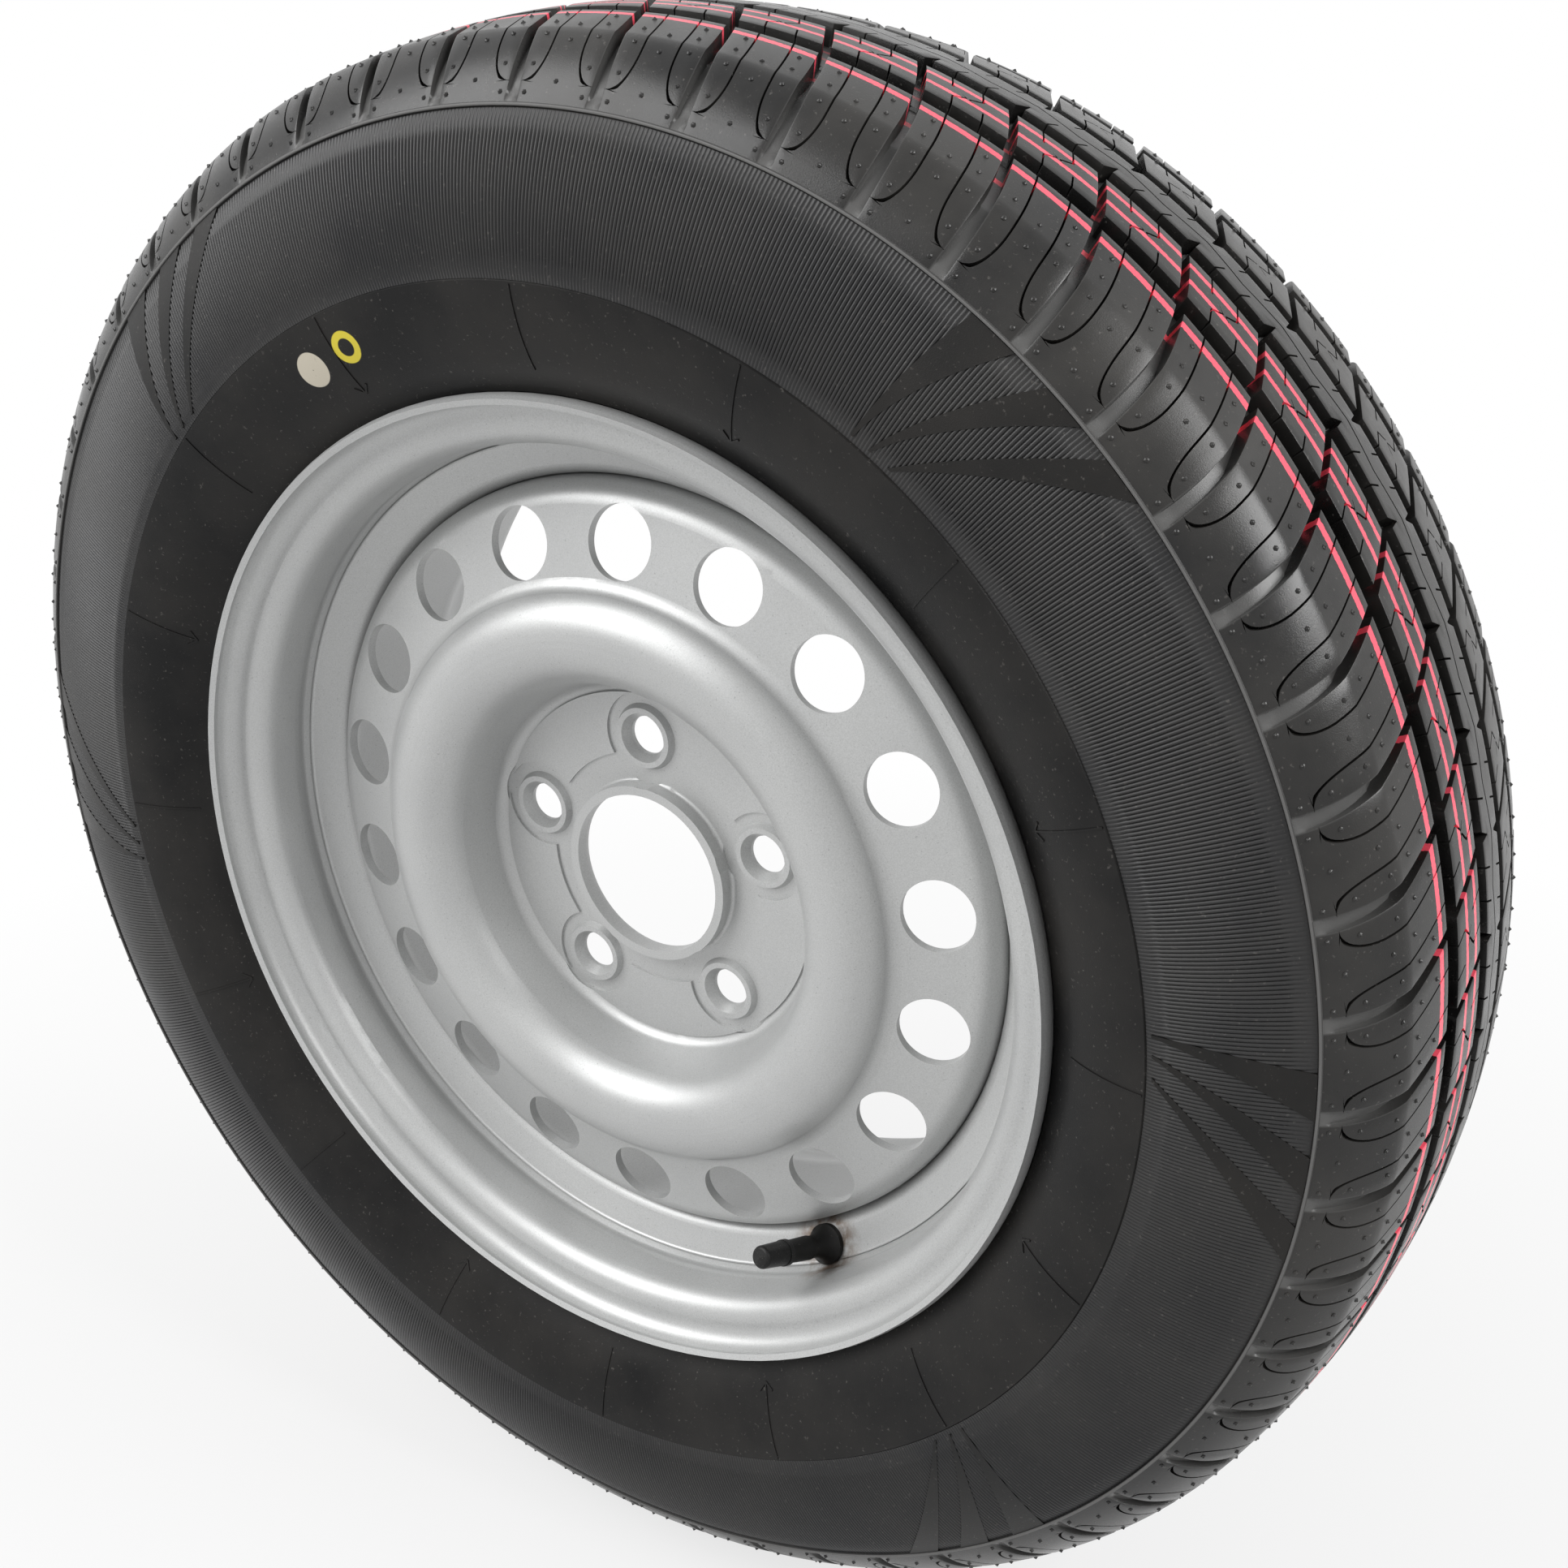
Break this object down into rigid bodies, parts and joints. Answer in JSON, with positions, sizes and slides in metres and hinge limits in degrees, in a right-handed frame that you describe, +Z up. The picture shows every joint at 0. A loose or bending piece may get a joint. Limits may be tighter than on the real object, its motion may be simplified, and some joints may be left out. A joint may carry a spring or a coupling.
{
  "type": "wheel and tyre assembly",
  "caption": "Pressed steel road wheel with round hand holes, a dished hub with cone bolt seats, a snap-in valve with a screw cap and a tubeless radial tyre with a slotted tread.",
  "frame": {"origin": "on the axle line, in the middle of the rim's width", "axes": "+Y along the axle line towards the vehicle, so the outer dished face looks along -Y; +Z up, through the first bolt hole"},
  "size_m": [0.6286, 0.185, 0.6286],
  "materials": {
    "tyre_rubber": "matte",
    "silver_paint": "satin",
    "valve_rubber": "matte",
    "brass": "satin",
    "seal_rubber": "matte",
    "spring_steel": "satin",
    "black_plastic": "satin"
  },
  "bodies": {
    "wheel": {"tyre": "tyre_rubber", "wheel_rim": "silver_paint", "wheel_disc": "silver_paint", "disc_welds": "silver_paint", "valve_body": "valve_rubber", "valve_stem": "brass", "core_plug": "brass", "core_barrel": "brass", "core_barrel_seal": "seal_rubber", "core_spring": "spring_steel"},
    "core_pin": {"core_pin": "brass", "core_cup": "brass", "core_cup_seal": "seal_rubber"},
    "cap_seal": {"cap_seal": "seal_rubber"},
    "valve_cap": {"valve_cap": "black_plastic"}
  },
  "joints": [
    {"name": "core_press", "type": "slide", "parent": "wheel", "child": "core_pin", "axis": [0.1964, 0.9171, -0.3471], "range_m": [0, 0.0012], "stiffness_N_per_m": 1500, "deforming": ["core_spring"]},
    {"name": "cap_lift", "type": "slide", "parent": "wheel", "child": "cap_seal", "axis": [-0.1964, -0.9171, 0.3471], "range_m": [0, 0.00635]},
    {"name": "cap_screw", "type": "hinge", "parent": "cap_seal", "child": "valve_cap", "pos_m": [0.07556, -0.07284, -0.13355], "axis": [-0.1964, -0.9171, 0.3471], "range_deg": [0, 2880]}
  ],
  "couplings": [
    {"joint": "cap_screw", "follows": "cap_lift", "rad_per_m": 7913.3}
  ]
}
